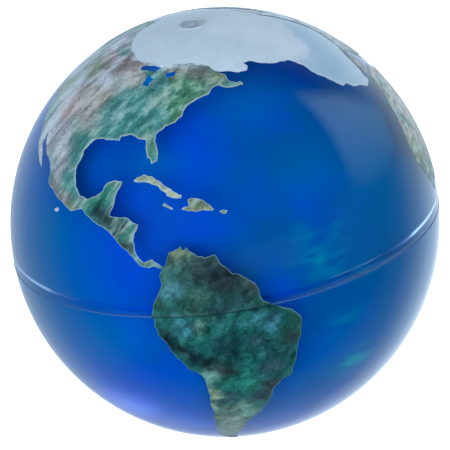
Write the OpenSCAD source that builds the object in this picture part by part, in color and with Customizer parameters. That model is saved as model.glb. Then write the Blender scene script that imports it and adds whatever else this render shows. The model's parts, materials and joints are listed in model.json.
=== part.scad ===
// Squeeze ball: a clear, soft, two-part skin filled with blue gel and printed as a globe.
// The origin is the ball's centre, the seam lies in z = 0, and +Z runs out through the north pole.
// Places on the ball are [latitude, longitude] in degrees. Longitude 0 faces -Y, and east is positive.

/* [Ball] */
// Outside diameter of the skin
ball_d = 65; // [60:1:75]
// Thickness of the clear skin
wall = 4; // [3:0.5:5]

/* [Seam] */
// Height of the step where the two halves overlap
lap_h = 2; // [1:0.5:3]
// Thickness of the adhesive between the halves
glue = 0.1; // [0.06:0.02:0.2]
// Radius of the round bead of adhesive round the outside
bead_r = 0.24; // [0.2:0.02:0.4]
// How far the bead stands out of the skin
bead_h = 0.1; // [0.06:0.02:0.16]

/* [Fill port] */
// Latitude of the port on the ball, just off the pole
port_lat = 85.3; // [84:0.1:90]
// Longitude of the port on the ball
port_lon = -7; // [-30:1:30]
// Diameter of the port through the skin, filled by the plug's stem
port_d = 2.4; // [2:0.2:3]
// Diameter of the plug's head
head_d = 3.6; // [3.4:0.2:5]
// Thickness of the plug's head
head_h = 0.8; // [0.6:0.1:1.2]
// Depth of the head's seat below the outside of the skin
seat_h = 1.3; // [1.1:0.1:1.8]
// Height of the sealant's lip above the skin
lip_h = 0.15; // [0.1:0.05:0.3]

/* [Print] */
// Thickness of the printed ink
ink = 0.1; // [0.08:0.02:0.16]

/* [Hidden] */
$fn = 128;

ball_r = ball_d / 2;
cavity_r = ball_r - wall;
// Radius of the lap joint's upright face, halfway through the skin
lap_r = ball_r - wall / 2;
// Radius of the ring that the bead's circle is swept round
bead_ring_r = ball_r + bead_h - bead_r;
// The print stops this far from the seam, clear of the bead
seam_gap = bead_r;
// The gel stops this far short of the skin
gel_gap = 0.02;
// Width of the sealant round the plug's head
sealant_w = 0.3;
seat_d = head_d + 2 * sealant_w;
// The cones that cut the print end on a plane this far out, just past the ink
cone_reach = 1.03 * (ball_r + ink);

CLEAR = [0.62, 0.76, 0.92, 0.45];
GEL = [0.02, 0.26, 0.72];
SEALANT = [0.72, 0.78, 0.86];
ICE = [0.66, 0.73, 0.82];
SNOW = [0.71, 0.74, 0.84];
PRAIRIE = [0.42, 0.58, 0.53];
FOREST = [0.12, 0.36, 0.32];
SAVANNA = [0.52, 0.55, 0.4];

// ---- Outlines that are given as places on the ball ----

// Starts at the inlet in the north-east, runs south round the Gulf and the isthmus, and goes back up the west
NORTH_AMERICA = [
    [62.3, 6], [61.4, 9], [60.4, 11.5], [58.6, 12], [57.2, 14.5], [57.3, 17], [56.4, 17.3], [56.2, 14],
    [56.5, 9], [57.3, 7], [57, 4], [55.3, 1.5], [54.7, -2], [53.5, -6], [51.6, -9.3], [50, -10],
    [48.3, -13], [47.3, -16], [45.6, -18.8], [43.5, -19.5], [40.8, -18.3], [38.8, -18.2], [37.9, -19.5],
    [39.3, -21.3], [41.5, -22.3], [44, -22.8], [44.4, -25.3], [45.3, -28], [45, -32], [43.7, -32.6],
    [43.8, -35.5], [44, -40], [42.8, -43.5], [40.5, -46], [38, -46.2], [34.5, -46.6], [31.5, -45.4],
    [29.3, -43.3], [28.5, -40.7], [29.4, -36.7], [31, -35], [33, -34.4], [33.4, -31], [33.2, -28.8],
    [31.5, -29.6], [28.5, -30.8], [24.8, -31.9], [24.5, -26.4], [23.2, -23.4], [21, -24], [17.5, -24.4],
    [15.2, -23.6], [13.8, -21.8], [14.5, -19.7], [13.5, -18], [13, -17.4], [12.5, -17.9], [13.1, -19.4],
    [12.2, -20.8], [13.3, -22.8], [15.5, -25.4], [17.5, -27.6], [19.7, -29.7], [21.2, -32], [22.6, -36],
    [24.5, -38.6], [25.6, -41], [24.8, -45.5], [26.5, -50], [28.6, -54.8], [30, -57.8], [32.5, -58],
    [34.5, -60.3], [37, -65.4], [39.3, -68.8], [41.2, -71], [38, -70.3], [35, -66.8], [32.4, -64.2],
    [34, -68], [36.4, -72.6], [39.5, -76], [43, -82.5], [47, -89], [51.5, -94], [57, -99], [61, -106],
    [62, -115], [59, -128], [65, -134], [74, -136], [79, -120], [76, -95], [72.5, -75], [70, -58],
    [67, -40], [66.3, -20], [66, -6], [64, 4]
];
GREAT_LAKES = [
    [[65.6, -38], [66.4, -29], [65.3, -23], [64.2, -27], [64.4, -37]],
    [[63.2, -30], [61.2, -25.5], [59.2, -28], [59.5, -31]],
    [[63.4, -19.5], [63.8, -14.5], [62.2, -15], [61.6, -19]]
];
// Greenland's border with the ice, from its southern corner round to its western one
GREENLAND_BORDER = [
    [58, 47.5], [56.6, 53], [56.4, 58], [57.2, 62], [59.5, 65], [62.5, 65.5], [64, 69], [62.6, 74.5],
    [64.5, 77], [67, 84], [70, 91], [75, 90], [77, 60], [74, 36], [68, 28], [64, 30], [61.2, 31]
];
GREENLAND = concat(GREENLAND_BORDER, [[59.7, 37], [59, 42.5]]);
// Starts at the same inlet, and runs east along the ice edge, round behind the pole and back to the west
ARCTIC_ICE = concat(
    [
        [62.3, 6], [61.6, 12], [60.9, 15.5], [60, 18.5], [60.3, 22], [61.2, 23.8], [63, 23.8], [62.6, 27]
    ],
    reversed(GREENLAND_BORDER),
    [
        [55.5, 49.8], [51, 51.3], [46, 56.3], [44.4, 57.6], [44.8, 60.5], [43, 62], [42.2, 66],
        [40.4, 70], [41, 73.5], [45, 76.5], [48.5, 79], [52, 86], [58, 93], [66, 95], [73, 98], [78, 112],
        [80, 150], [81, 200], [79, 240], [76, 265], [72.5, 285], [70, 302], [67, 320], [66.3, 340],
        [66, 354], [64, 364]
    ]
);
CUBA = [
    [33.5, -25.5], [34.6, -24.3], [35.3, -22], [34.8, -19.5], [33.2, -16.8], [30.8, -13], [29.8, -10.6],
    [29.1, -10.7], [29.4, -14.8], [30.1, -15.2], [32.2, -18], [33.6, -21.5], [33.3, -24.2]
];
JAMAICA = [[27.4, -16.3], [27.9, -15.2], [27.4, -14], [26.6, -13.1], [26.4, -13.7], [27, -15]];
HISPANIOLA = [
    [28.5, -9.3], [28.7, -8.2], [28.1, -6], [27.4, -4.8], [25.6, -2.5], [25.3, -3], [25.6, -7],
    [26.2, -9.8], [26.8, -11.1], [27.2, -10.5], [26.9, -8.9], [27.8, -9]
];
PUERTO_RICO = [[25, -1.2], [25.3, -0.2], [24.6, 1.3], [24.1, 0.5], [24.4, -0.8]];
PACIFIC_ISLET = [[24.6, -52.2], [25, -51], [24.6, -50], [24, -51.2]];
// Starts at the isthmus, and runs east along the north coast, down the east coast and back up the west
SOUTH_AMERICA = [
    [13, -17.4], [13.8, -16.4], [15.9, -15.2], [16.6, -13.2], [17.5, -12.2], [16.4, -11.6], [17, -10.8],
    [15.8, -9.2], [14.9, -8], [14.1, -6], [14.7, -3.8], [12, -1.8], [9.2, 0], [8.5, 2.3], [6.8, 4.4],
    [4.4, 5.4], [2, 5.7], [0.8, 7.3], [-1.5, 11], [-2.3, 12.8], [-4.8, 15], [-8, 15], [-12, 13.7],
    [-18, 12.6], [-21.8, 11.4], [-23.4, 8.4], [-26, 6.5], [-31, 5], [-34, 3], [-36.7, 0.8],
    [-38.3, -1.5], [-41.5, -3.4], [-46.5, -6], [-52, -8.5], [-58, -10], [-59, -14], [-51, -15.5],
    [-43, -14], [-35, -12.6], [-26, -11.6], [-20.5, -11.2], [-18, -12], [-15.5, -14.8], [-12, -17.2],
    [-7.5, -19.2], [-4.5, -20.7], [-2.4, -21.6], [-1, -21], [0.5, -21.5], [3, -20.7], [5.3, -19.4],
    [7.5, -18], [11, -18], [12.5, -17.9]
];
ANTARCTICA = [
    [-71, 0], [-69, 30], [-67, 60], [-66, 90], [-67, 120], [-68, 150], [-73, 175], [-79, 190],
    [-76, 220], [-74, 250], [-73, 285], [-66, 300], [-69, 308], [-75, 325]
];

// ---- Outlines that are given as map latitude and longitude, which on_ball() carries to the ball ----

EURASIA = [
    [37, -6], [42, -5], [44, 1], [47, 6], [50, 12], [53, 17], [56, 22], [62, 24], [70, 28], [67, 40],
    [65, 37], [68, 54], [72, 70], [75, 88], [76, 104], [73, 130], [71, 160], [69, 176], [66, 188],
    [62, 178], [60, 166], [51, 157], [57, 157], [61, 162], [59, 150], [59, 142], [54, 137], [48, 140],
    [43, 132], [39, 128], [35, 129], [35, 126], [39, 124], [39, 118], [37, 122], [31, 122], [23, 117],
    [21, 109], [17, 107], [11, 109], [9, 105], [13, 100], [7, 102], [2, 104], [3, 101], [9, 98],
    [17, 97], [16, 94], [22, 91], [20, 86], [15, 80], [8, 78], [13, 74], [21, 72], [25, 66], [26, 57],
    [30, 49], [24, 52], [22, 60], [16, 53], [13, 45], [21, 39], [28, 35], [32, 35], [37, 36], [37, 28],
    [40, 26], [38, 23], [40, 20], [45, 13], [41, 18], [38, 16], [44, 9], [43, 4], [37, -2]
];
INLAND_SEAS = [
    [[41, 29], [46, 31], [45, 36], [43, 41], [41, 38]],
    [[37, 50], [42, 49], [46, 48], [46, 53], [41, 53], [37, 54]]
];
AFRICA = [
    [35, -6], [37, 10], [31, 17], [33, 22], [31, 31], [27, 34], [15, 39], [12, 43], [12, 51], [2, 46],
    [-5, 39], [-15, 41], [-20, 35], [-26, 33], [-34, 26], [-35, 20], [-28, 16], [-17, 12], [-9, 13],
    [0, 9], [4, 9], [6, 3], [5, -3], [4, -8], [9, -14], [14, -18], [15, -20], [21, -19], [28, -13],
    [31, -10]
];
MADAGASCAR = [[-12, 49], [-16, 51], [-25, 47], [-25, 44], [-17, 44]];
SRI_LANKA = [[10, 80], [8, 82], [6, 81], [7, 79]];
JAPAN = [[45, 142], [43, 145], [36, 141], [34, 137], [31, 131], [34, 131], [36, 136], [40, 140]];
PHILIPPINES = [[18, 121], [14, 124], [7, 127], [6, 123], [10, 122], [14, 120]];
SUMATRA = [[6, 95], [4, 98], [-1, 104], [-5, 106], [-4, 102], [1, 98]];
BORNEO = [[7, 117], [4, 118], [-1, 118], [-4, 116], [-3, 111], [1, 109], [3, 113]];
SULAWESI = [[1, 125], [0, 121], [-3, 122], [-5, 120], [0, 119]];
JAVA = [[-6, 106], [-7, 114], [-9, 115], [-7, 105]];
NEW_GUINEA = [[-3, 131], [-3, 136], [-4, 144], [-10, 151], [-8, 144], [-9, 140], [-5, 134]];
AUSTRALIA = [
    [-22, 114], [-34, 115], [-35, 118], [-32, 128], [-35, 136], [-38, 141], [-39, 146], [-37, 150],
    [-28, 154], [-20, 148], [-11, 143], [-17, 140], [-15, 136], [-12, 136], [-12, 131], [-15, 129],
    [-18, 122]
];
NEW_ZEALAND_NORTH = [[-35, 173], [-38, 178], [-41, 176], [-39, 174]];
NEW_ZEALAND_SOUTH = [[-41, 173], [-42, 174], [-47, 169], [-46, 167], [-43, 170]];

// How the printed map is stretched north and south: map latitude, then latitude on the ball
LATITUDE_STRETCH = [[-90, -90], [-35, -37], [0, 2], [15, 17], [35, 40], [60, 64], [77, 79], [90, 90]];
// The map's cape_lon falls on the ball's cape_ball_lon, and the map keeps this share of its width
cape_lon = -17.4;
cape_ball_lon = 69.5;
map_squeeze = 0.7;
// Longitude on the ball with open ocean at the equator, there and on the opposite side
open_ocean_lon = 50;
function on_ball(p) = [
    lookup(p[0], LATITUDE_STRETCH),
    cape_ball_lon + map_squeeze * (p[1] - cape_lon)
];
function from_map(outline) = [for (p = outline) on_ball(p)];

function direction(p) = [cos(p[0]) * sin(p[1]), -cos(p[0]) * cos(p[1]), sin(p[0])];
function total(vectors) = [for (k = [0:2]) [for (v = vectors) 1] * [for (v = vectors) v[k]]];
function reversed(list) = [for (i = [len(list) - 1:-1:0]) list[i]];

// A pyramid from the ball's centre through an outline on the ball, ending in a flat base past the ink
module outline_cone(outline) {
    rays = [for (p = outline) direction(p)];
    middle = total(rays) / norm(total(rays));
    east = cross([0, 0, 1], middle) / norm(cross([0, 0, 1], middle));
    north = cross(middle, east);
    base = [for (r = rays) [r * east, r * north] * cone_reach / (r * middle)];
    multmatrix([for (k = [0:2]) [east[k], north[k], middle[k], 0]])
        mirror([0, 0, 1])
            translate([0, 0, -cone_reach])
                linear_extrude(height = cone_reach, scale = 0)
                    polygon(base);
}

// One patch of ink on the skin. The spheres' own axis lies in the seam, so no patch holds a sphere's pole.
module ink_patch(outline, waters = []) {
    difference() {
        intersection() {
            rotate([90, 0, open_ocean_lon]) difference() {
                sphere(r = ball_r + ink);
                sphere(r = ball_r);
            }
            outline_cone(outline);
        }
        for (water = waters)
            outline_cone(water);
    }
}

// What lies on one side of the seam: side is 1 for north and -1 for south
module half(side) {
    block = 3 * ball_r;
    intersection() {
        union() children();
        translate([0, 0, side * (seam_gap + block / 2)])
            cube(block, center = true);
    }
}

// The part of a plane shape to the right of the axis, between two heights
module band(low, high, reach = ball_r + 1) {
    intersection() {
        children();
        translate([0, low])
            square([reach, high - low]);
    }
}

// Turns the +Z axis to run out through the fill port
module at_port() {
    rotate([90 - port_lat, 0, port_lon])
        children();
}

module skin_section() {
    difference() {
        circle(r = ball_r);
        circle(r = cavity_r);
    }
}

module north_shell() {
    color(CLEAR) difference() {
        rotate_extrude() union() {
            band(glue / 2, ball_r + 1) skin_section();
            band(-lap_h, glue, lap_r) skin_section();
        }
        at_port() cylinder(d = port_d, h = ball_r + 1);
        at_port() translate([0, 0, ball_r - seat_h])
            cylinder(d = seat_d, h = seat_h + 1);
    }
}

module south_shell() {
    color(CLEAR) rotate_extrude() difference() {
        band(-ball_r - 1, -glue / 2) skin_section();
        translate([0, -lap_h - glue])
            square([lap_r + glue, lap_h + glue]);
    }
}

module seam_bond() {
    color(SEALANT) rotate_extrude() union() {
        // Film on the inner ledge
        band(-lap_h - glue, -lap_h, lap_r + glue) skin_section();
        // Film on the upright face
        translate([lap_r, -lap_h])
            square([glue, lap_h + glue / 2]);
        // Film on the outer ledge
        difference() {
            band(-glue / 2, glue / 2) skin_section();
            translate([0, -glue])
                square([lap_r, 2 * glue]);
        }
        // Bead outside the skin
        difference() {
            translate([bead_ring_r, 0])
                circle(r = bead_r);
            circle(r = ball_r);
        }
    }
}

module gel_fill() {
    color(GEL) sphere(r = cavity_r - gel_gap);
}

module fill_plug() {
    stem_base = sqrt(cavity_r * cavity_r - port_d * port_d / 4);
    color(SEALANT) at_port() union() {
        translate([0, 0, stem_base])
            cylinder(d = port_d, h = ball_r - seat_h - stem_base + head_h / 2);
        translate([0, 0, ball_r - seat_h])
            cylinder(d = head_d, h = head_h);
    }
}

// A ring of sealant that fills the seat round the plug's head and ends in a low round lip
module plug_sealant() {
    lip_r = (seat_d - head_d) / 2;
    color(SEALANT) at_port() difference() {
        translate([0, 0, ball_r - seat_h]) union() {
            cylinder(d = seat_d, h = seat_h - lip_r + lip_h);
            translate([0, 0, seat_h - lip_r + lip_h])
                rotate_extrude() translate([head_d / 2, 0])
                    intersection() {
                        circle(r = lip_r);
                        square(lip_r);
                    }
        }
        translate([0, 0, ball_r - seat_h - 1])
            cylinder(d = head_d, h = seat_h + lip_h + 2);
    }
}

module north_america_print() {
    color(PRAIRIE) ink_patch(NORTH_AMERICA, GREAT_LAKES);
}

module arctic_ice_print() {
    color(ICE) difference() {
        ink_patch(ARCTIC_ICE);
        at_port() cylinder(d = seat_d, h = ball_r + 1);
    }
}

module greenland_print() {
    color(SNOW) ink_patch(GREENLAND);
}

module cuba_print() {
    color(SAVANNA) ink_patch(CUBA);
}

module jamaica_print() {
    color(PRAIRIE) ink_patch(JAMAICA);
}

module hispaniola_print() {
    color(FOREST) ink_patch(HISPANIOLA);
}

module puerto_rico_print() {
    color(PRAIRIE) ink_patch(PUERTO_RICO);
}

module pacific_islet_print() {
    color(ICE) ink_patch(PACIFIC_ISLET);
}

module south_america_north_print() {
    color(FOREST) half(1) ink_patch(SOUTH_AMERICA);
}

module south_america_south_print() {
    color(FOREST) half(-1) ink_patch(SOUTH_AMERICA);
}

module eurasia_print() {
    color(SAVANNA) ink_patch(from_map(EURASIA), [for (sea = INLAND_SEAS) from_map(sea)]);
}

module africa_north_print() {
    color(SAVANNA) half(1) ink_patch(from_map(AFRICA));
}

module africa_south_print() {
    color(FOREST) half(-1) ink_patch(from_map(AFRICA));
}

module madagascar_print() {
    color(FOREST) ink_patch(from_map(MADAGASCAR));
}

module sri_lanka_print() {
    color(FOREST) ink_patch(from_map(SRI_LANKA));
}

module japan_print() {
    color(FOREST) ink_patch(from_map(JAPAN));
}

module philippines_print() {
    color(FOREST) ink_patch(from_map(PHILIPPINES));
}

module sumatra_north_print() {
    color(FOREST) half(1) ink_patch(from_map(SUMATRA));
}

module sumatra_south_print() {
    color(FOREST) half(-1) ink_patch(from_map(SUMATRA));
}

module borneo_north_print() {
    color(FOREST) half(1) ink_patch(from_map(BORNEO));
}

module borneo_south_print() {
    color(FOREST) half(-1) ink_patch(from_map(BORNEO));
}

module sulawesi_north_print() {
    color(FOREST) half(1) ink_patch(from_map(SULAWESI));
}

module sulawesi_south_print() {
    color(FOREST) half(-1) ink_patch(from_map(SULAWESI));
}

module java_print() {
    color(FOREST) ink_patch(from_map(JAVA));
}

module new_guinea_print() {
    color(FOREST) ink_patch(from_map(NEW_GUINEA));
}

module australia_print() {
    color(SAVANNA) ink_patch(from_map(AUSTRALIA));
}

module new_zealand_north_print() {
    color(FOREST) ink_patch(from_map(NEW_ZEALAND_NORTH));
}

module new_zealand_south_print() {
    color(FOREST) ink_patch(from_map(NEW_ZEALAND_SOUTH));
}

module antarctica_print() {
    color(ICE) ink_patch(ANTARCTICA);
}

north_shell();
south_shell();
seam_bond();
gel_fill();
fill_plug();
plug_sealant();
north_america_print();
arctic_ice_print();
greenland_print();
cuba_print();
jamaica_print();
hispaniola_print();
puerto_rico_print();
pacific_islet_print();
south_america_north_print();
south_america_south_print();
eurasia_print();
africa_north_print();
africa_south_print();
madagascar_print();
sri_lanka_print();
japan_print();
philippines_print();
sumatra_north_print();
sumatra_south_print();
borneo_north_print();
borneo_south_print();
sulawesi_north_print();
sulawesi_south_print();
java_print();
new_guinea_print();
australia_print();
new_zealand_north_print();
new_zealand_south_print();
antarctica_print();
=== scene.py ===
import json
import math

import bpy
import numpy as np
from mathutils import Matrix, Vector, geometry, kdtree, noise


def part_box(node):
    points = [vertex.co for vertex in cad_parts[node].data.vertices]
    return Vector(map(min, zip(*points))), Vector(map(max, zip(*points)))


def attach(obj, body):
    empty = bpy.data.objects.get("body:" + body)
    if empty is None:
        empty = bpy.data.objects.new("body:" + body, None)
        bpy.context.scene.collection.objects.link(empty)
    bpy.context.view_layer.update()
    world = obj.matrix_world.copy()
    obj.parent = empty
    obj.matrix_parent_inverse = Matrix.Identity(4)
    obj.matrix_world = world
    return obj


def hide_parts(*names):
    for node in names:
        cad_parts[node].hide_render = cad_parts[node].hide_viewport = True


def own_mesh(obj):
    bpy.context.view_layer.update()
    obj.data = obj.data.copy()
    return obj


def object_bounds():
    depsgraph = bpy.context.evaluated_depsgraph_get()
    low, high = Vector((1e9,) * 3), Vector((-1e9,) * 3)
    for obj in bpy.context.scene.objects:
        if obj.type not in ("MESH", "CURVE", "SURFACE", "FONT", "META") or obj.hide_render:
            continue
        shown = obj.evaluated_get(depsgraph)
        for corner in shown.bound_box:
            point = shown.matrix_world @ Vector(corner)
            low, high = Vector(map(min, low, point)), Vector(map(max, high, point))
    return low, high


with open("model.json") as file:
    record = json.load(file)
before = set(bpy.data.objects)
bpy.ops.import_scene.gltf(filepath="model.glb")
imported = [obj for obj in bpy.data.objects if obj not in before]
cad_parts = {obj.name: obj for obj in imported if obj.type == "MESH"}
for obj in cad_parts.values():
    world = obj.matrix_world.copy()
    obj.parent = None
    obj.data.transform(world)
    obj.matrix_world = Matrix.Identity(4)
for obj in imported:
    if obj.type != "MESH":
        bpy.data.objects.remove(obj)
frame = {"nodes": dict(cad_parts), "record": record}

cad_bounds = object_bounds()
# The noise used below starts from the clock unless it is seeded
noise.seed_set(11)

# ---- Sizes, in metres. Most of what the CAD part fixes is read from it. ----
MM = 0.001
BALL_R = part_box("north_shell")[1].x
INK = -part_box("antarctica_print")[0].z - BALL_R
SEAM_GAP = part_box("south_america_north_print")[0].z
GEL_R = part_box("gel_fill")[1].x
# The skin's inside lies just under the gel's surface, so that there is no film of air between them
SKIN_IN_R = GEL_R - 0.05 * MM
FLOOR_Z = cad_bounds[0].z - 0.05 * MM


def smoothstep(low, high, value):
    """0 below low, 1 above high, and smooth in between."""
    share = np.clip((value - low) / (high - low), 0, 1)
    return share * share * (3 - 2 * share)


# ---- The fill port, which sits a little off the pole ----


def along_and_across(cad_node, way):
    """How far a CAD node reaches along an axis through the ball's centre, and out from it."""
    places = [Vector(v.co) for v in cad_node.data.vertices]
    return max(p.dot(way) for p in places), max((p - p.dot(way) * way).length for p in places)


cad_sealant = frame["nodes"]["plug_sealant"]
PORT_WAY = sum((Vector(v.co) for v in cad_sealant.data.vertices), Vector()).normalized()
LIP_TOP, SEAT_R = along_and_across(cad_sealant, PORT_WAY)
HEAD_TOP, HEAD_R = along_and_across(frame["nodes"]["fill_plug"], PORT_WAY)
PORT_AXIS = Vector((0, 0, 1)).cross(PORT_WAY).normalized()
PORT_TILT = math.acos(PORT_WAY.z)
# The port's bore and the height of the plug's head, which are the same as in the CAD part
PORT_R = 1.2 * MM
HEAD_H = 0.8 * MM


def to_port(p):
    """Carries a point of something built round +Z to the same place round the fill port."""
    return Matrix.Rotation(PORT_TILT, 3, PORT_AXIS) @ Vector(p)


def skin_to_port(p):
    """The same, but less and less towards the seam, which stays level."""
    share = smoothstep(0.2, 0.9, Vector(p).normalized().z)
    return Matrix.Rotation(PORT_TILT * share, 3, PORT_AXIS) @ Vector(p)


# ---- Mesh helpers ----


def new_object(name, points, faces, smooth_angle=40):
    """An object from vertex positions and faces, smooth except where it turns by more than smooth_angle."""
    mesh = bpy.data.meshes.new(name)
    mesh.from_pydata([tuple(p) for p in points], [], faces)
    mesh.shade_smooth()
    mesh.set_sharp_from_angle(angle=math.radians(smooth_angle))
    mesh.update()
    made = bpy.data.objects.new(name, mesh)
    bpy.context.scene.collection.objects.link(made)
    store(made, "rest_place", "FLOAT_VECTOR", np.array(points, np.float32) / MM)
    return made


def store(obj, name, kind, values):
    """Keeps a value for each vertex of a mesh, for its material to read. Positions are kept in mm."""
    made = obj.data.attributes.new(name, kind, "POINT")
    field = {"FLOAT": "value", "FLOAT_VECTOR": "vector", "FLOAT_COLOR": "color"}[kind]
    made.data.foreach_set(field, np.asarray(values, np.float32).ravel())


def lathe(name, profile, steps=256, smooth_angle=40, moved=None):
    """Turns a closed profile of (radius, height) points round the Z axis, and then moves each point."""
    rings, points, faces = [], [], []
    for radius, height in profile:
        count = steps if radius > 1e-9 else 1
        rings.append(range(len(points), len(points) + count))
        for i in range(count):
            turn = 2 * math.pi * i / steps
            points.append((radius * math.cos(turn), radius * math.sin(turn), height))
    for low, high in zip(rings, rings[1:] + rings[:1]):
        if len(low) == 1 and len(high) == 1:
            continue
        for i in range(steps):
            j = (i + 1) % steps
            corners = [low[i % len(low)], low[j % len(low)], high[j % len(high)], high[i % len(high)]]
            faces.append(list(dict.fromkeys(corners)))
    if moved:
        points = [moved(p) for p in points]
    return new_object(name, points, faces, smooth_angle)


def arc(radius, start, end, count, centre=(0, 0)):
    """Points (radius, height) on a circle, from one angle above the seam to another, in degrees."""
    angles = np.radians(np.linspace(start, end, count))
    return [(centre[0] + radius * math.cos(a), centre[1] + radius * math.sin(a)) for a in angles]


# ---- Places on the ball ----


def direction(lat, lon):
    """Unit vector to a latitude and longitude on the ball. Longitude 0 faces -Y, and east is positive."""
    lat, lon = np.radians(lat), np.radians(lon)
    return np.stack([np.cos(lat) * np.sin(lon), -np.cos(lat) * np.cos(lon), np.sin(lat)], -1)


# ---- The skin, the gel, the seam and the plug ----


# The two halves stop this many degrees short of the seam's plane
HALF_GAP = 0.02


def build_skin_north():
    """The upper half of the skin, with the port and the plug's seat cut through it."""
    seat_edge = math.degrees(math.acos(SEAT_R / BALL_R))
    port_edge = math.degrees(math.acos(PORT_R / SKIN_IN_R))
    seat_floor = HEAD_TOP - HEAD_H
    profile = arc(BALL_R, HALF_GAP, seat_edge - 0.4, 90)
    profile += [(SEAT_R, BALL_R - 0.16 * MM), (SEAT_R, seat_floor), (PORT_R, seat_floor)]
    profile += arc(SKIN_IN_R, port_edge, HALF_GAP, 90)
    return lathe("skin_north", profile, moved=skin_to_port)


def build_skin_south():
    """The lower half of the skin."""
    profile = arc(BALL_R, -90, -HALF_GAP, 100)
    profile += arc(SKIN_IN_R, -HALF_GAP, -90, 100)
    return lathe("skin_south", profile)


def build_gel():
    """The gel, with the slight groove that the seam's inner ridge presses into it."""
    groove_degrees = 0.5
    groove_depth = 0.12 * MM
    lats = np.concatenate([np.linspace(-90, -3, 60), np.linspace(-2.8, 2.8, 57), np.linspace(3, 90, 60)])
    profile = []
    for lat in lats:
        profile += arc(GEL_R - groove_depth * math.exp(-((lat / groove_degrees) ** 2)), lat, lat, 1)
    return lathe("gel", profile)


def build_seam():
    """The bead of adhesive that stands a little out of the skin."""
    bead_r = 0.13 * MM
    bead_out = 0.06 * MM
    centre = BALL_R + bead_out - bead_r
    return lathe("seam_bead", arc(bead_r, -80, 80, 13, (centre, 0)), smooth_angle=60)


def build_plug():
    """The plug's head, dished inside its raised edge, with a nub in the middle."""
    top = BALL_R - 0.12 * MM
    head = [(0, HEAD_TOP - HEAD_H), (HEAD_R * 0.97, HEAD_TOP - HEAD_H), (HEAD_R * 0.99, top - 0.2 * MM)]
    head += [(HEAD_R * 0.95, top), (HEAD_R * 0.86, top + 0.02 * MM), (HEAD_R * 0.76, top - 0.12 * MM)]
    head += [(HEAD_R * 0.6, top - 0.3 * MM), (HEAD_R * 0.42, top - 0.3 * MM)]
    head += [(HEAD_R * 0.32, top - 0.05 * MM), (HEAD_R * 0.18, top + 0.08 * MM), (0, top + 0.1 * MM)]
    return lathe("plug", head, steps=96, moved=to_port)


def build_sealant():
    """The ring of sealant round the head. Its lip is a little uneven, as it was laid by hand."""
    lip_r = (SEAT_R - HEAD_R) * 0.75
    middle = (SEAT_R + HEAD_R) / 2
    foot = HEAD_TOP - 0.7 * MM
    uneven_h = 0.3 * MM

    def uneven(p):
        lump = noise.noise((p[0] / MM * 0.9, p[1] / MM * 0.9, 3.0))
        share = min(max((p[2] - BALL_R + uneven_h) / uneven_h, 0), 1)
        outward = Vector((p[0], p[1], 0)).normalized()
        return to_port(Vector(p) + share * lump * (0.3 * MM * outward + Vector((0, 0, 0.12 * MM))))

    profile = [(HEAD_R, foot), (SEAT_R * 0.995, foot)]
    profile += arc(lip_r, 0, 180, 13, (middle, LIP_TOP - lip_r))
    return lathe("plug_sealant_lip", profile, steps=128, smooth_angle=60, moved=uneven)


# Soft spots in the gel: latitude, longitude, radius in degrees and strength.
# Patches of land on the far side, blurred by the gel
FAR_LAND = [
    (14, 22, 3, 0.4), (12, 32, 3, 0.4), (6, 23, 4, 0.9), (4, 28, 4, 0.6), (-1, 37, 3, 0.4), (-14, 30, 4, 0.4),
    (-30, 35, 4, 1.3)
]
# Light gathered by the ball, and light that comes in through the lakes
GLOW = [(-39, -46, 7, 0.75), (-46, -33, 6, 0.3)]
LAKE_LIGHT = [(66, -32, 5, 1.0), (62, -28, 4, 1.0), (63, -17, 4, 1.0)]
# Where the gel looks paler and greener. The last three spots, under the lakes, are painted light that comes
# in through them.
PALE_SPOTS_AND_LAKE_LIGHT = [
    (-10, -42, 12, 0.8), (40, -22, 6, 0.6), (-28, 32, 14, 0.6), (-4, -70, 18, 1.0), (-35, 0, 20, 0.6),
    (16, -60, 9, 0.9), (22, 55, 10, 0.4), (38, -38, 5, 0.3), (55, 14, 8, 0.5), (30, 30, 9, 0.3),
    (66, -32, 4, 1.0), (62, -28, 4, 1.0), (63, -17, 4, 1.0)
]


def spot_strength(places, spots):
    """The strongest of some soft spots at each unit vector in places. Spots are wider than they are high."""
    strength = np.zeros(len(places))
    for lat, lon, radius, power in spots:
        middle = direction(lat, lon)
        east = np.array([-middle[1], middle[0], 0]) / math.hypot(middle[0], middle[1])
        offset = places - middle
        along = offset @ east
        apart = np.sqrt(np.maximum((offset ** 2).sum(1) - along ** 2, 0) + (along / 1.4) ** 2)
        strength = np.maximum(strength, power * np.exp(-((np.degrees(apart) / radius) ** 2)))
    return strength


def spread(obj, name, spots):
    """Writes the strength of some spots to a mesh, for its material to read."""
    places = np.array([v.co for v in obj.data.vertices], float).reshape(-1, 3)
    places = places / np.maximum(np.linalg.norm(places, axis=1), 1e-9)[:, None]
    store(obj, name, "FLOAT", spot_strength(places, spots))


# ---- The print ----
COAST_STEP = 0.24 * MM
RIM_STEPS = (0.2 * MM, 0.45 * MM)
LAND_STEP = 0.75 * MM
WELD_STEP = 2e-3 * MM
# Bays and capes: how fine each layer of them is, and its size in mm
COAST_LAYERS = ((1.1, 0.28), (2.6, 0.18), (6.0, 0.11))


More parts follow.
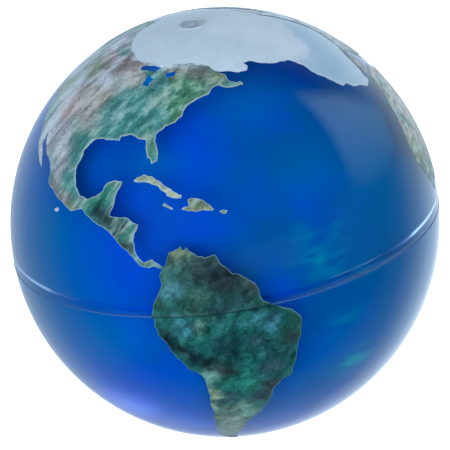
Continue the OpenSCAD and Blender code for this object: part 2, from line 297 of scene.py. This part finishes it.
def outside_loops(cad_node):
    """Closed loops of points round the outside face of a CAD print, as unit vectors."""
    mesh = cad_node.data
    welded, places = {}, []

    def weld(v):
        key = tuple(round(c / WELD_STEP) for c in v.co)
        if key not in welded:
            welded[key] = len(places)
            places.append(np.array(v.co))
        return welded[key]

    ids = [weld(v) for v in mesh.vertices]
    outer = [np.linalg.norm(p) > BALL_R + INK / 2 for p in places]
    count = {}
    for face in mesh.polygons:
        corners = [ids[v] for v in face.vertices]
        if all(outer[c] for c in corners):
            for a, b in zip(corners, corners[1:] + corners[:1]):
                if a != b:
                    count[(a, b)] = count.get((a, b), 0) + 1
    after = {a: b for (a, b) in count if (b, a) not in count}
    loops = []
    while after:
        loop = [next(iter(after))]
        while loop[-1] in after:
            loop.append(after.pop(loop[-1]))
        loops.append(np.array([places[i] for i in loop[:-1]]))
    return [p / np.linalg.norm(p, axis=1)[:, None] for p in loops if len(p) > 2]


def wander(p):
    """How far a coast point strays from the CAD outline. Shared borders stray alike, so they still meet."""
    stray = Vector((0, 0, 0))
    for scale, size in COAST_LAYERS:
        stray += noise.noise_vector(Vector(p) * BALL_R / MM / 2.2 * scale) * size * MM
    near_seam = smoothstep(0.3 * MM, 1.3 * MM, abs(p[2]) * BALL_R)
    near_plug = smoothstep(SEAT_R + 0.2 * MM, SEAT_R + 1.5 * MM, (Vector(p) - PORT_WAY).length * BALL_R)
    return np.array(stray) / BALL_R * near_seam * near_plug


def coast(loop):
    """A loop cut into short steps, with a natural coast's small bays and capes."""
    line = []
    for a, b in zip(loop, np.roll(loop, -1, 0)):
        steps = max(1, round(np.linalg.norm(b - a) * BALL_R / COAST_STEP))
        for k in range(steps):
            p = a + (b - a) * k / steps
            p = p / np.linalg.norm(p)
            p = p + wander(p)
            if abs(p[2]) * BALL_R < 1.2 * SEAM_GAP:
                p[2] = math.copysign(0.02 * MM / BALL_R, p[2])
            line.append(p / np.linalg.norm(p))
    line = np.array(line)
    gap = np.linalg.norm(line - np.roll(line, 1, 0), axis=1) * BALL_R
    return line[gap > 0.02 * MM]


def inside(points, loops):
    """Which plane points lie inside the loops, by the even-odd rule."""
    hits = np.zeros(len(points), bool)
    for loop in loops:
        for (x0, y0), (x1, y1) in zip(loop, np.roll(loop, -1, 0)):
            if y0 == y1:
                continue
            crosses = (y0 > points[:, 1]) != (y1 > points[:, 1])
            reach = x0 + (points[:, 1] - y0) * (x1 - x0) / (y1 - y0)
            hits ^= crosses & (points[:, 0] < reach)
    return hits


def nearest(points):
    """A function that gives each plane point's distance to the nearest of these points."""
    tree = kdtree.KDTree(len(points))
    for i, p in enumerate(points):
        tree.insert((*p, 0), i)
    tree.balance()
    return lambda found: np.array([tree.find((*p, 0))[2] for p in found])


def borders(coasts):
    """For each print, which coast points have no pale rim: those on another print, the seam or a hole."""
    owned = [(p, name) for name, loops in coasts.items() for p in np.concatenate(loops)]
    tree = kdtree.KDTree(len(owned))
    for i, (p, _) in enumerate(owned):
        tree.insert(p, i)
    tree.balance()
    shared = {}
    for name, loops in coasts.items():
        flags = []
        for loop in loops:
            # Loops round a lake or the plug run the other way
            hole = np.cross(loop, np.roll(loop, -1, 0)).sum(0) @ loop.mean(0) < 0
            for p in loop:
                close = tree.find_range(p, 0.2 * MM / BALL_R)
                on_seam = abs(p[2]) * BALL_R < 0.05 * MM
                flags.append(hole or on_seam or any(owned[i][1] != name for _, i, _ in close))
        shared[name] = np.array(flags)
    return shared


def flat_map(middle):
    """Two functions: one lays unit vectors out on a plane round middle, and one carries plane points back."""
    east = np.cross([0.01, 0, 1], middle)
    east = east / np.linalg.norm(east)
    north = np.cross(middle, east)

    def to_plane(p):
        scale = BALL_R * np.sqrt(2 / (1 + np.clip(p @ middle, -0.99, 1)))
        return np.stack([(p @ east) * scale, (p @ north) * scale], -1)

    def to_ball(q):
        rho2 = (q ** 2).sum(-1) / BALL_R ** 2
        along = np.sqrt(np.clip(1 - rho2 / 4, 0, 1))[:, None]
        across = q[:, :1] / BALL_R * east + q[:, 1:] / BALL_R * north
        return across * along + (1 - rho2 / 2)[:, None] * middle

    return to_plane, to_ball


def inner_points(plane, border):
    """Points inside the plane loops: rows that follow the coast, and a grid over the rest."""
    rows = []
    for line in plane:
        along = np.roll(line, -1, 0) - np.roll(line, 1, 0)
        along = along / np.maximum(np.linalg.norm(along, axis=1), 1e-12)[:, None]
        for offset in RIM_STEPS:
            for side in (1, -1):
                row = line + side * offset * np.stack([-along[:, 1], along[:, 0]], -1)
                rows.append(row[border(row) > 0.86 * offset])
    shore = np.concatenate(plane)
    low, high = shore.min(0), shore.max(0)
    xs = np.arange(low[0], high[0], LAND_STEP)
    ys = np.arange(low[1], high[1], LAND_STEP * 0.87)
    grid = np.array([(x + (k % 2) * LAND_STEP / 2, y) for k, y in enumerate(ys) for x in xs])
    if len(grid):
        rows.append(grid[border(grid) > RIM_STEPS[-1] + 0.4 * LAND_STEP])
    points = np.concatenate(rows)
    return points[inside(points, plane)]


def triangulated(plane, extra):
    """The area inside the plane loops as points and triangles that all turn the same way."""
    edges, start = [], 0
    for line in plane:
        count = len(line)
        edges += [(start + i, start + (i + 1) % count) for i in range(count)]
        start += count
    points = [Vector(p / MM) for p in np.concatenate([*plane, extra])]
    found, _, tris, *_ = geometry.delaunay_2d_cdt(points, edges, [], 0, 1e-6)
    found = np.array([tuple(v) for v in found]) * MM
    tris = np.array(tris)
    tris = tris[inside(found[tris].mean(1), plane)]
    used, tris = np.unique(tris, return_inverse=True)
    tris = tris.reshape(-1, 3)
    found = found[used]
    a, b, c = found[tris[:, 0]], found[tris[:, 1]], found[tris[:, 2]]
    turn = (b[:, 0] - a[:, 0]) * (c[:, 1] - a[:, 1]) - (b[:, 1] - a[:, 1]) * (c[:, 0] - a[:, 0])
    tris[turn < 0] = tris[turn < 0][:, ::-1]
    return found, tris


def build_print(name, loops, shared):
    """The print over one CAD node: a thin solid with a rounded edge, painted, and marked near its coast."""
    middle = loops[0].sum(0)
    to_plane, to_ball = flat_map(middle / np.linalg.norm(middle))
    plane = [to_plane(loop) for loop in loops]
    shore = np.concatenate(plane)
    flat, tris = triangulated(plane, inner_points(plane, nearest(shore)))
    reach = nearest(shore[~shared])(flat)

    places = to_ball(flat)
    seam_bump = 0.07 * MM * np.exp(-((places[:, 2] * BALL_R / (0.15 * MM)) ** 2))
    crown = 0.8 * INK * (0.35 + 0.65 * smoothstep(0, RIM_STEPS[0], reach))
    top = places * (BALL_R + 0.02 * MM + seam_bump + crown)[:, None]
    bottom = places * (BALL_R + 0.01 * MM + seam_bump)[:, None]

    count = len(top)
    faces = [tuple(int(i) for i in t) for t in tris]
    under = [tuple(count + i for i in t[::-1]) for t in faces]
    directed = {(t[i], t[(i + 1) % 3]) for t in faces for i in range(3)}
    wall = [(b, a, count + a, count + b) for a, b in directed if (b, a) not in directed]
    made = new_object("visual_" + name, np.concatenate([top, bottom]), faces + under + wall, smooth_angle=75)
    # The pale rim is half as wide in the south
    rim_scale = 2 - smoothstep(0.4, 0.55, places[:, 2])
    store(made, "from_coast", "FLOAT", np.tile(reach / MM * rim_scale, 2))
    colours = np.concatenate([painted(places, name), np.ones((count, 1))], 1)
    store(made, "paint", "FLOAT_COLOR", np.tile(colours, (2, 1)))
    return made


# ---- The print's colours ----
# Red, green and blue, as linear light
PAINTS = {
    "teal": (0.045, 0.22, 0.23), "leaf": (0.06, 0.22, 0.15), "palm": (0.012, 0.16, 0.13),
    "jungle": (0.006, 0.085, 0.085), "deep": (0.005, 0.035, 0.045), "black": (0.003, 0.014, 0.022),
    "olive": (0.10, 0.17, 0.11), "fern": (0.012, 0.07, 0.06), "moss": (0.09, 0.24, 0.21),
    "straw": (0.17, 0.27, 0.19), "lichen": (0.14, 0.24, 0.22), "umber": (0.018, 0.034, 0.042),
    "slate": (0.016, 0.055, 0.075), "earth": (0.17, 0.165, 0.19), "stone": (0.30, 0.32, 0.34),
    "tan": (0.28, 0.29, 0.28), "rose": (0.36, 0.31, 0.35), "mauve": (0.30, 0.36, 0.44),
    "pale": (0.04, 0.19, 0.28), "cloud": (0.025, 0.15, 0.20),
    "mist": (0.22, 0.36, 0.46), "snow": (0.38, 0.48, 0.60), "meadow": (0.20, 0.30, 0.22),
    # The lilac paint is a painted reflection, laid only on the ice
    "ice": (0.44, 0.59, 0.74), "lilac_reflection": (0.54, 0.66, 0.84), "shade": (0.30, 0.48, 0.68),
}
# Where the print has a colour of its own, and where a painted reflection lies on the ice (the lilac spots):
# latitude, longitude, radius in degrees and paint
LAND_SPOTS = [
    (69, -60, 3, "ice"), (69, -35, 3, "ice"), (68, -20, 3, "ice"), (67, -8, 2, "ice"),
    (54, -75, 6, "snow"), (57, -55, 6, "snow"), (59, -66, 6, "snow"), (64, -60, 6, "snow"),
    (46, -69, 6, "snow"), (40, -68, 6, "snow"), (69, -50, 6, "snow"), (70, -85, 9, "snow"),
    (62, -73, 4, "olive"), (66, -71, 3, "rose"), (52, -88, 5, "meadow"), (58, -95, 6, "snow"),
    (46, -84, 4, "mist"), (69, -65, 3, "teal"), (51, -65, 4, "rose"),
    (48, -67, 3, "rose"), (56, -63, 3, "mauve"), (53, -60, 4, "stone"), (53, -49, 5, "tan"),
    (49, -53, 5, "stone"), (64, -46, 4, "stone"), (66, -50, 3, "earth"), (61, -37, 4, "stone"),
    (65, -16, 2, "umber"), (62, -3, 4, "earth"), (63, -10, 3, "earth"), (60, 10, 3, "olive"),
    (58, -9, 5, "leaf"), (53, -38, 5, "teal"), (51, -37, 2, "mist"), (47, -28, 7, "teal"),
    (52, -25, 6, "teal"), (55, -19, 3, "moss"), (42, -19, 3, "leaf"), (50, -12, 3, "leaf"),
    (54, -6, 4, "leaf"), (45, -21, 3, "moss"), (42, -62, 5, "mauve"), (37, -55, 5, "mauve"),
    (38, -68, 5, "snow"), (33, -53, 3, "mauve"), (30, -54, 2, "earth"), (28, -49, 3, "earth"),
    (26, -46, 2, "olive"), (28, -42, 2, "slate"), (36, -47, 4, "teal"), (32, -46, 2, "teal"),
    (42, -47, 4, "teal"), (30, -33, 4, "palm"), (33, -30, 2, "moss"), (27, -39, 3, "palm"),
    (25, -35, 3, "slate"), (23, -33, 2, "umber"), (24, -29, 2, "deep"), (21, -30, 2, "slate"),
    (21, -25, 3, "palm"), (17, -26, 2, "umber"), (14, -21, 2, "moss"), (28, -6, 1, "deep"),
    (16, -12, 2, "olive"), (14, -14, 2, "fern"), (12, -8, 3, "slate"), (14, -6, 2, "slate"),
    (9, -4, 5, "black"), (10, 0, 4, "black"), (5, 4, 3, "umber"), (7, 8, 3, "deep"), (3, 1, 3, "deep"),
    (6, -15, 3, "cloud"), (5, -18, 2, "cloud"), (4, -19, 2, "fern"), (4, -10, 3, "fern"),
    (1, -4, 3, "deep"), (-1, -20, 1, "cloud"), (-4, 8, 2, "pale"), (-3, 3, 2, "cloud"),
    (-2, -14, 2, "cloud"), (-2, -9, 2, "moss"), (-11, 11, 3, "umber"), (-7, 13, 3, "fern"),
    (-10, 4, 3, "slate"), (-10, -4, 4, "deep"), (-5, -18, 2, "umber"), (-7, -17, 2, "black"),
    (-9, -15, 2, "umber"), (-11, -13, 2, "black"), (-13, -10, 2, "black"), (-15, -8, 2, "umber"),
    (-17, -6, 2, "umber"), (-18, -10, 2, "moss"), (-21, -10, 2, "moss"), (-25, -11, 2, "straw"),
    (-30, -11, 2, "straw"), (-36, -12, 2, "straw"), (-28, -7, 2, "slate"), (-22, -2, 4, "palm"),
    (-25, 5, 3, "umber"), (-28, 2, 3, "slate"), (-17, 7, 3, "slate"), (-38, -7, 5, "lichen"),
    (-46, -9, 6, "lichen"), (-34, -2, 3, "moss"),
    (52, 92, 7, "mauve"), (42, 84, 4, "rose"), (33, 76, 3, "meadow"), (28, 74, 3, "mist"),
    (24, 72, 3, "tan"), (20, 71, 3, "meadow"), (38, 82, 3, "moss"), (31, 80, 2, "rose"),
    (26, 77, 2, "leaf"), (50, 60, 9, "shade"), (57, 62, 5, "shade"), (63, 76, 8, "shade"),
    # Painted reflection: the ice is paler and lilac where the soft light over the top of the ball is
    # reflected
    (79, 52, 6, "lilac_reflection"), (72, 54, 7, "lilac_reflection"), (65, 58, 6, "lilac_reflection"), (60, 58, 4, "lilac_reflection"),
]
# Elsewhere the paint follows the latitude, from the south pole to the north
CLIMATES = [
    (-90, "ice"), (-60, "snow"), (-45, "olive"), (-30, "tan"), (-18, "olive"), (-8, "jungle"),
    (8, "jungle"), (16, "olive"), (24, "tan"), (34, "tan"), (44, "olive"), (52, "mauve"), (60, "snow"),
    (68, "ice"), (90, "ice")
]
# The paint under the spots, for the prints that don't follow the latitude, by how their names start
GROUNDS = {
    "arctic_ice": "ice", "greenland": "ice", "antarctica": "ice", "north_america": "teal",
    "south_america": "jungle", "cuba": "meadow", "jamaica": "leaf", "hispaniola": "olive",
    "puerto_rico": "leaf", "pacific_islet": "snow",
}
# The ice takes only the spots that are meant for it
LAND_PAINTS = [paint for paint in PAINTS if paint not in ("shade", "lilac_reflection")]
COLD_SPOTS = {"arctic_ice_print": ["lilac_reflection", "shade"], "greenland_print": ["lilac_reflection"]}


def painted(places, node_name):
    """The print's colour at each unit vector in places, with wispy borders between the paints."""
    streaks = np.array([noise.turbulence_vector((p[0] * 9, p[1] * 9, p[2] * 16), 3, False) for p in places])
    places = places + 0.05 * streaks
    places = places / np.linalg.norm(places, axis=1)[:, None]
    lats = np.degrees(np.arcsin(np.clip(places[:, 2], -1, 1)))
    colours = np.stack([
        np.interp(lats, [lat for lat, _ in CLIMATES], [PAINTS[paint][k] for _, paint in CLIMATES])
        for k in range(3)
    ], 1)
    for start, ground in GROUNDS.items():
        if node_name.startswith(start):
            colours[:] = PAINTS[ground]
    for lat, lon, radius, paint in LAND_SPOTS:
        if paint not in COLD_SPOTS.get(node_name, LAND_PAINTS):
            continue
        away = np.degrees(np.arccos(np.clip(places @ direction(lat, lon), -1, 1)))
        share = np.exp(-((away / radius) ** 3))[:, None]
        colours = colours * (1 - share) + share * np.array(PAINTS[paint])
    return colours


# ---- Materials ----


def material(name):
    """A new material with an empty node tree."""
    made = bpy.data.materials.new(name)
    made.use_nodes = True
    made.node_tree.nodes.clear()
    return made, made.node_tree


def node(tree, kind, inputs=None, **settings):
    """A shader node with its inputs set or linked and its settings set."""
    made = tree.nodes.new(kind)
    for key, value in settings.items():
        setattr(made, key, value)
    for key, value in (inputs or {}).items():
        if isinstance(value, bpy.types.NodeSocket):
            tree.links.new(value, made.inputs[key])
        else:
            made.inputs[key].default_value = value
    return made


def ranged(tree, value, low, high, start, end):
    """A value carried from the range low to high into start to end, and held at both ends."""
    return node(tree, "ShaderNodeMapRange", {"Value": value, 1: low, 2: high, 3: start, 4: end}).outputs[0]


def calc(tree, operation, *values):
    """What a Math node makes of linked or plain values."""
    return node(tree, "ShaderNodeMath", dict(enumerate(values)), operation=operation).outputs[0]


def stored(tree, name, output="Fac"):
    """What the mesh keeps for each of its points under a name."""
    return node(tree, "ShaderNodeAttribute", attribute_name=name).outputs[output]


def rest_place(tree):
    """Each point's place at rest, in mm."""
    return stored(tree, "rest_place", "Vector")


def mixed(tree, factor, first, second):
    """The output of a colour mix, which takes linked or plain values."""
    made = tree.nodes.new("ShaderNodeMix")
    made.data_type = "RGBA"
    for socket, value in ((made.inputs[0], factor), (made.inputs[6], first), (made.inputs[7], second)):
        if isinstance(value, bpy.types.NodeSocket):
            tree.links.new(value, socket)
        else:
            socket.default_value = value
    return made.outputs[2]


def skin_material():
    """Clear plastic with faint dents."""
    made, tree = material("clear_skin")
    dents = node(tree, "ShaderNodeTexNoise", {"Vector": rest_place(tree), "Scale": 0.09, "Detail": 2.0})
    bump = node(tree, "ShaderNodeBump", {"Height": dents.outputs["Fac"], "Strength": 0.06, "Distance": 0.001})
    body = node(tree, "ShaderNodeBsdfPrincipled", {"Normal": bump.outputs[0], "Roughness": 0.04, "IOR": 1.45})
    body.inputs["Base Color"].default_value = (0.55, 0.78, 1, 1)
    body.inputs["Transmission Weight"].default_value = 1
    node(tree, "ShaderNodeOutputMaterial", {"Surface": body.outputs[0]})
    return made


def bonded_material():
    """The faces where the halves are joined. The adhesive is milky at the rim and towards one side."""
    made, tree = material("bonded_face")
    place = rest_place(tree)
    side = node(tree, "ShaderNodeSeparateXYZ", {0: place}).outputs[0]
    radius = node(tree, "ShaderNodeVectorMath", {0: place}, operation="LENGTH").outputs["Value"]
    to_side = ranged(tree, side, 5.0, 22.0, 0.1, 0.7)
    to_edge = ranged(tree, radius, 30.0, 32.2, 0.0, 1.0)
    milk = calc(tree, "MULTIPLY", to_side, to_edge)
    clear = node(tree, "ShaderNodeBsdfTransparent", {"Color": (0.9, 0.95, 1, 1)})
    cloudy = node(tree, "ShaderNodeBsdfDiffuse", {"Color": (0.55, 0.72, 0.85, 1)})
    both = node(tree, "ShaderNodeMixShader", {0: milk, 1: clear.outputs[0], 2: cloudy.outputs[0]})
    node(tree, "ShaderNodeOutputMaterial", {"Surface": both.outputs[0]})
    return made


def open_sea(tree, place):
    """The gel's blue, which drifts, dulls at both sides and is paler in spots. It also dulls from left to
    right as painted light: brighter blue on the left, as if lit from there, and duller and tealer to the
    right.
    """
    drift = node(tree, "ShaderNodeTexNoise", {
        "Vector": place, "Scale": 0.11, "Detail": 3.0, "Roughness": 0.45
    })
    side = node(tree, "ShaderNodeSeparateXYZ", {0: place}).outputs[0]
    # Painted light: the blue is brighter on the left and duller to the right
    across = calc(tree, "MULTIPLY", side, 0.014)
    at_sides = ranged(tree, calc(tree, "ABSOLUTE", side), 14.0, 26.0, 0.0, 0.85)
    ramp = node(tree, "ShaderNodeValToRGB", {"Fac": calc(tree, "ADD", drift.outputs["Fac"], across)})
    bright, dull = ramp.color_ramp.elements
    bright.position = 0.25
    bright.color = (0.0, 0.108, 0.8, 1)
    dull.position = 0.75
    dull.color = (0.0, 0.132, 0.42, 1)
    # Paler spots, and painted light under the lakes
    with_pale_spots_and_lake_light = mixed(tree, stored(tree, "pale_and_lake_light"), ramp.outputs[0], (0.0, 0.235, 0.58, 1))
    return mixed(tree, at_sides, with_pale_spots_and_lake_light, (0.0, 0.2, 0.44, 1))


def gel_material():
    """The blue gel, with the far side's land and some gathered light painted on it."""
    made, tree = material("blue_gel")
    place = rest_place(tree)
    streaks = node(tree, "ShaderNodeMapping", {"Vector": place, "Scale": (0.4, 0.4, 1.2)}).outputs[0]
    broken = node(tree, "ShaderNodeTexNoise", {"Vector": streaks, "Scale": 0.6, "Detail": 3.0}).outputs["Fac"]
    gaps = ranged(tree, broken, 0.38, 0.6, 0.1, 1.0)
    patches = calc(tree, "MULTIPLY", stored(tree, "far_land"), gaps)
    tinted = mixed(tree, patches, open_sea(tree, place), (0.0, 0.42, 0.52, 1))
    glow = stored(tree, "glow")
    colour = mixed(tree, glow, tinted, (0.17, 0.28, 1.0, 1))
    # Painted light: the whole gel glows a little, and more at the spots of gathered light and lake light
    from_lakes = calc(tree, "MULTIPLY_ADD", stored(tree, "lake_light"), 0.6, 0.1)
    light = calc(tree, "MULTIPLY_ADD", glow, 0.5, from_lakes)
    body = node(tree, "ShaderNodeBsdfPrincipled", {"Base Color": colour, "Roughness": 0.6})
    body.inputs["Specular IOR Level"].default_value = 0.0
    tree.links.new(colour, body.inputs["Emission Color"])
    tree.links.new(light, body.inputs["Emission Strength"])
    node(tree, "ShaderNodeOutputMaterial", {"Surface": body.outputs[0]})
    return made


def ink_material(name, streak, dust, stretch, rim_colour):
    """Printed ink: the painted colours with streaks, grain and dust, a pale coast, and painted shade in a
    thin line along the seam.
    """
    made, tree = material(name)
    place = rest_place(tree)
    turn = (0, math.radians(45), 0)
    turned = node(tree, "ShaderNodeMapping", {"Vector": place, "Rotation": turn}).outputs[0]
    stretched = node(tree, "ShaderNodeMapping", {"Vector": turned, "Scale": stretch}).outputs[0]
    wisps = node(tree, "ShaderNodeTexNoise", {
        "Vector": stretched, "Scale": 0.8, "Detail": 6.0, "Roughness": 0.6, "Distortion": 0.3
    }).outputs["Fac"]
    grain = node(tree, "ShaderNodeTexNoise", {"Vector": place, "Scale": 2.6, "Detail": 4.0}).outputs["Fac"]
    coarse = ranged(tree, wisps, 0.32, 0.68, 1 - streak, 1 + streak)
    fine = ranged(tree, grain, 0.3, 0.7, 1 - 0.5 * streak, 1 + 0.5 * streak)
    height = node(tree, "ShaderNodeSeparateXYZ", {0: place}).outputs[2]
    # Painted shade: the ink is darker in a thin line along the seam
    painted_seam_shade = ranged(tree, calc(tree, "ABSOLUTE", height), 0.03, 0.15, 0.4, 1.0)
    tone = calc(tree, "MULTIPLY", calc(tree, "MULTIPLY", coarse, fine), painted_seam_shade)
    paint = stored(tree, "paint", "Color")
    streaky = node(tree, "ShaderNodeHueSaturation", {"Value": tone, "Color": paint}).outputs[0]
    fleck = ranged(tree, wisps, 0.5, 0.72, 0.0, dust)
    dusted = mixed(tree, fleck, streaky, (0.36, 0.45, 0.45, 1))
    rim = ranged(tree, stored(tree, "from_coast"), 0.04, 0.25, 0.75, 0.0)
    colour = mixed(tree, rim, dusted, rim_colour)
    bump = node(tree, "ShaderNodeBump", {"Height": grain, "Strength": 0.15, "Distance": 0.0001}).outputs[0]
    gloss = ranged(tree, grain, 0.3, 0.7, 0.3, 0.42)
    body = node(tree, "ShaderNodeBsdfPrincipled", {"Base Color": colour, "Roughness": gloss, "Normal": bump})
    node(tree, "ShaderNodeOutputMaterial", {"Surface": body.outputs[0]})
    return made


def glossy_material(name, colour, roughness):
    """Smooth plastic or sealant with a slight mottle."""
    made, tree = material(name)
    grain = node(tree, "ShaderNodeTexNoise", {"Vector": rest_place(tree), "Scale": 0.9, "Detail": 3.0})
    tone = ranged(tree, grain.outputs["Fac"], 0.0, 1.0, 0.9, 1.05)
    paint = node(tree, "ShaderNodeHueSaturation", {"Value": tone, "Color": colour})
    body = node(tree, "ShaderNodeBsdfPrincipled", {"Base Color": paint.outputs[0], "Roughness": roughness})
    node(tree, "ShaderNodeOutputMaterial", {"Surface": body.outputs[0]})
    return made


def soft(obj, body):
    """Puts a piece on its body and gives it a mesh of its own."""
    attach(obj, body)
    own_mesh(obj)
    return obj


def mark_bonded_faces(half):
    """Gives the material of a bonded face to those that lie in the seam's plane."""
    half.data.materials.append(bonded)
    for face in half.data.polygons:
        if abs(face.center.z) < 0.05 * MM:
            face.material_index = 1


skin = skin_material()
bonded = bonded_material()
bodies = {name: body for body, names in frame["record"]["behaviour"]["bodies"].items() for name in names}

skin_north = soft(build_skin_north(), "upper_half")
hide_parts("north_shell")
skin_north.data.materials.append(skin)
mark_bonded_faces(skin_north)

skin_south = soft(build_skin_south(), "lower_half")
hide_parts("south_shell")
skin_south.data.materials.append(skin)
mark_bonded_faces(skin_south)

gel = build_gel()
spread(gel, "far_land", FAR_LAND)
spread(gel, "glow", GLOW)
spread(gel, "lake_light", LAKE_LIGHT)
spread(gel, "pale_and_lake_light", PALE_SPOTS_AND_LAKE_LIGHT)
gel = soft(gel, "lower_half")
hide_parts("gel_fill")
gel.data.materials.append(gel_material())

seam = soft(build_seam(), "lower_half")
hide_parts("seam_bond")
seam.data.materials.append(glossy_material("seam_adhesive", (0.02, 0.11, 0.36, 1), 0.55))

plug = soft(build_plug(), "upper_half")
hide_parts("fill_plug")
plug.data.materials.append(glossy_material("plug", (0.4, 0.5, 0.64, 1), 0.2))

sealant = soft(build_sealant(), "upper_half")
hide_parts("plug_sealant")
sealant.data.materials.append(glossy_material("sealant", (0.45, 0.55, 0.68, 1), 0.1))

# How strong the streaks and the dust are, how much the wisps are stretched, and the colour of the coast
looks = {
    "land_ink": ink_material("land_ink", 0.6, 0.7, (0.22, 0.8, 1.2), (0.34, 0.48, 0.49, 1)),
    "forest_ink": ink_material("forest_ink", 0.6, 0.03, (0.7, 0.8, 1.0), (0.12, 0.27, 0.24, 1)),
    "ice_ink": ink_material("ice_ink", 0.05, 0.04, (0.3, 0.5, 0.6), (0.45, 0.57, 0.70, 1)),
}
slots = {row["node"]: row["material_slot"] for row in frame["record"]["subparts"]}
prints = sorted(name for name in frame["nodes"] if name.endswith("_print"))
coasts = {name: [coast(loop) for loop in outside_loops(frame["nodes"][name])] for name in prints}
shared_borders = borders(coasts)
for name in prints:
    patch = build_print(name, coasts[name], shared_borders[name])
    soft(patch, bodies[name])
    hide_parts(name)
    patch.data.materials.append(looks[slots[name]])

# ---- Stage ----

# The room is brightest behind the ball, low down and to the right, and fades to nothing in front of it.
# Each part is a way it faces, the share of facing where it starts and where it is full, and its strength.
ROOM = [
    (Vector((0, 0.927, -0.376)), 0.05, 0.75, 0.84),
    (Vector((0.5, 0.82, -0.28)).normalized(), 0.7, 0.95, 0.7),
]
# The middle of a soft window's brightest corner, and the two sides that meet there
WINDOW_WAY = Vector((0.66, 0.19, 0.73)).normalized()
WINDOW_LEFT = Vector((0.62, 0.14, 0.77)).cross(Vector((0.92, -0.17, 0.37))).normalized()
WINDOW_TOP = Vector((0.78, 0.54, 0.32)).cross(Vector((0.62, 0.16, 0.77))).normalized()


def toward(tree, way, axis, low, high, top):
    """Rises from 0 to top as a unit vector turns to face an axis."""
    share = node(tree, "ShaderNodeVectorMath", {0: way, 1: axis}, operation="DOT_PRODUCT").outputs["Value"]
    return ranged(tree, share, low, high, 0.0, top)


def build_floor():
    """A pale floor that only the camera sees, so that it sends no light to the ball."""
    reach = 3
    corners = [(-reach, -reach), (reach, -reach), (reach, reach), (-reach, reach)]
    floor = new_object("floor", [(x, y, FLOOR_Z) for x, y in corners], [(0, 1, 2, 3)])
    made, tree = material("floor")
    paper = node(tree, "ShaderNodeBsdfDiffuse", {"Color": (0.9, 0.9, 0.9, 1)})
    lit = node(tree, "ShaderNodeEmission", {"Color": (1, 1, 1, 1), "Strength": 0.9})
    bright = node(tree, "ShaderNodeAddShader", {0: paper.outputs[0], 1: lit.outputs[0]})
    node(tree, "ShaderNodeOutputMaterial", {"Surface": bright.outputs[0]})
    floor.data.materials.append(made)
    floor.visible_glossy = False
    floor.visible_transmission = False
    floor.visible_diffuse = False
    floor.visible_shadow = False


def softbox(name, place, size, power):
    """A soft light that faces the ball and shows in no reflection."""
    light = bpy.data.lights.new(name, "AREA")
    light.shape = "RECTANGLE"
    light.size, light.size_y = size
    light.energy = power
    made = bpy.data.objects.new(name, light)
    made.location = place
    made.rotation_mode = "QUATERNION"
    made.rotation_quaternion = (-Vector(place)).to_track_quat("-Z", "Y")
    made.visible_camera = False
    made.visible_glossy = False
    bpy.context.scene.collection.objects.link(made)


def build_room():
    """The light all round, which the ball reflects. The camera sees plain white in its place."""
    world = bpy.data.worlds.new("studio")
    bpy.context.scene.world = world
    world.use_nodes = True
    tree = world.node_tree
    tree.nodes.clear()
    way = node(tree, "ShaderNodeTexCoord").outputs["Generated"]
    window = toward(tree, way, WINDOW_WAY, 0.72, 0.96, 1.6)
    for side in (WINDOW_LEFT, WINDOW_TOP):
        window = calc(tree, "MULTIPLY", window, toward(tree, way, side, -0.05, 0.08, 1.0))
    walls = 0.0
    for axis, low, high, top in ROOM:
        walls = calc(tree, "ADD", walls, toward(tree, way, axis, low, high, top))
    window_light = node(tree, "ShaderNodeBackground", {"Color": (0.7, 1, 1, 1), "Strength": window})
    wall_light = node(tree, "ShaderNodeBackground", {"Color": (0.7, 0.85, 1, 1), "Strength": walls})
    lit = node(tree, "ShaderNodeAddShader", {0: window_light.outputs[0], 1: wall_light.outputs[0]})
    white = node(tree, "ShaderNodeBackground", {"Color": (1, 1, 1, 1), "Strength": 1.0})
    seen = node(tree, "ShaderNodeLightPath").outputs["Is Camera Ray"]
    both = node(tree, "ShaderNodeMixShader", {0: seen, 1: lit.outputs[0], 2: white.outputs[0]})
    node(tree, "ShaderNodeOutputWorld", {"Surface": both.outputs[0]})


build_floor()
softbox("overhead", (0.05, 0.3, 0.75), (0.8, 0.6), 3.6)
softbox("left_fill", (-0.5, -0.6, 0.2), (0.6, 0.6), 5)
softbox("right_fill", (0.7, -0.2, -0.05), (0.5, 0.5), 1.6)
softbox("low_fill", (0.05, -0.7, 0.0), (0.9, 0.2), 4)
build_room()
bpy.context.scene.view_settings.view_transform = "Standard"

# ---- Camera ----
ELEVATION = math.radians(22.1)
ROLL = math.radians(8.8)
DISTANCE = 9 * BALL_R

lens = bpy.data.cameras.new("camera")
lens.lens = 153.8
lens.sensor_width = 36
lens.shift_y = -0.0063
lens.clip_start = 0.01
lens.clip_end = 20
camera = bpy.data.objects.new("camera", lens)
bpy.context.scene.collection.objects.link(camera)
camera.location = (0, -DISTANCE * math.cos(ELEVATION), DISTANCE * math.sin(ELEVATION))
camera.rotation_euler = (math.pi / 2 - ELEVATION, 0, 0)
camera.rotation_euler.rotate_axis("Z", -ROLL)
bpy.context.scene.camera = camera
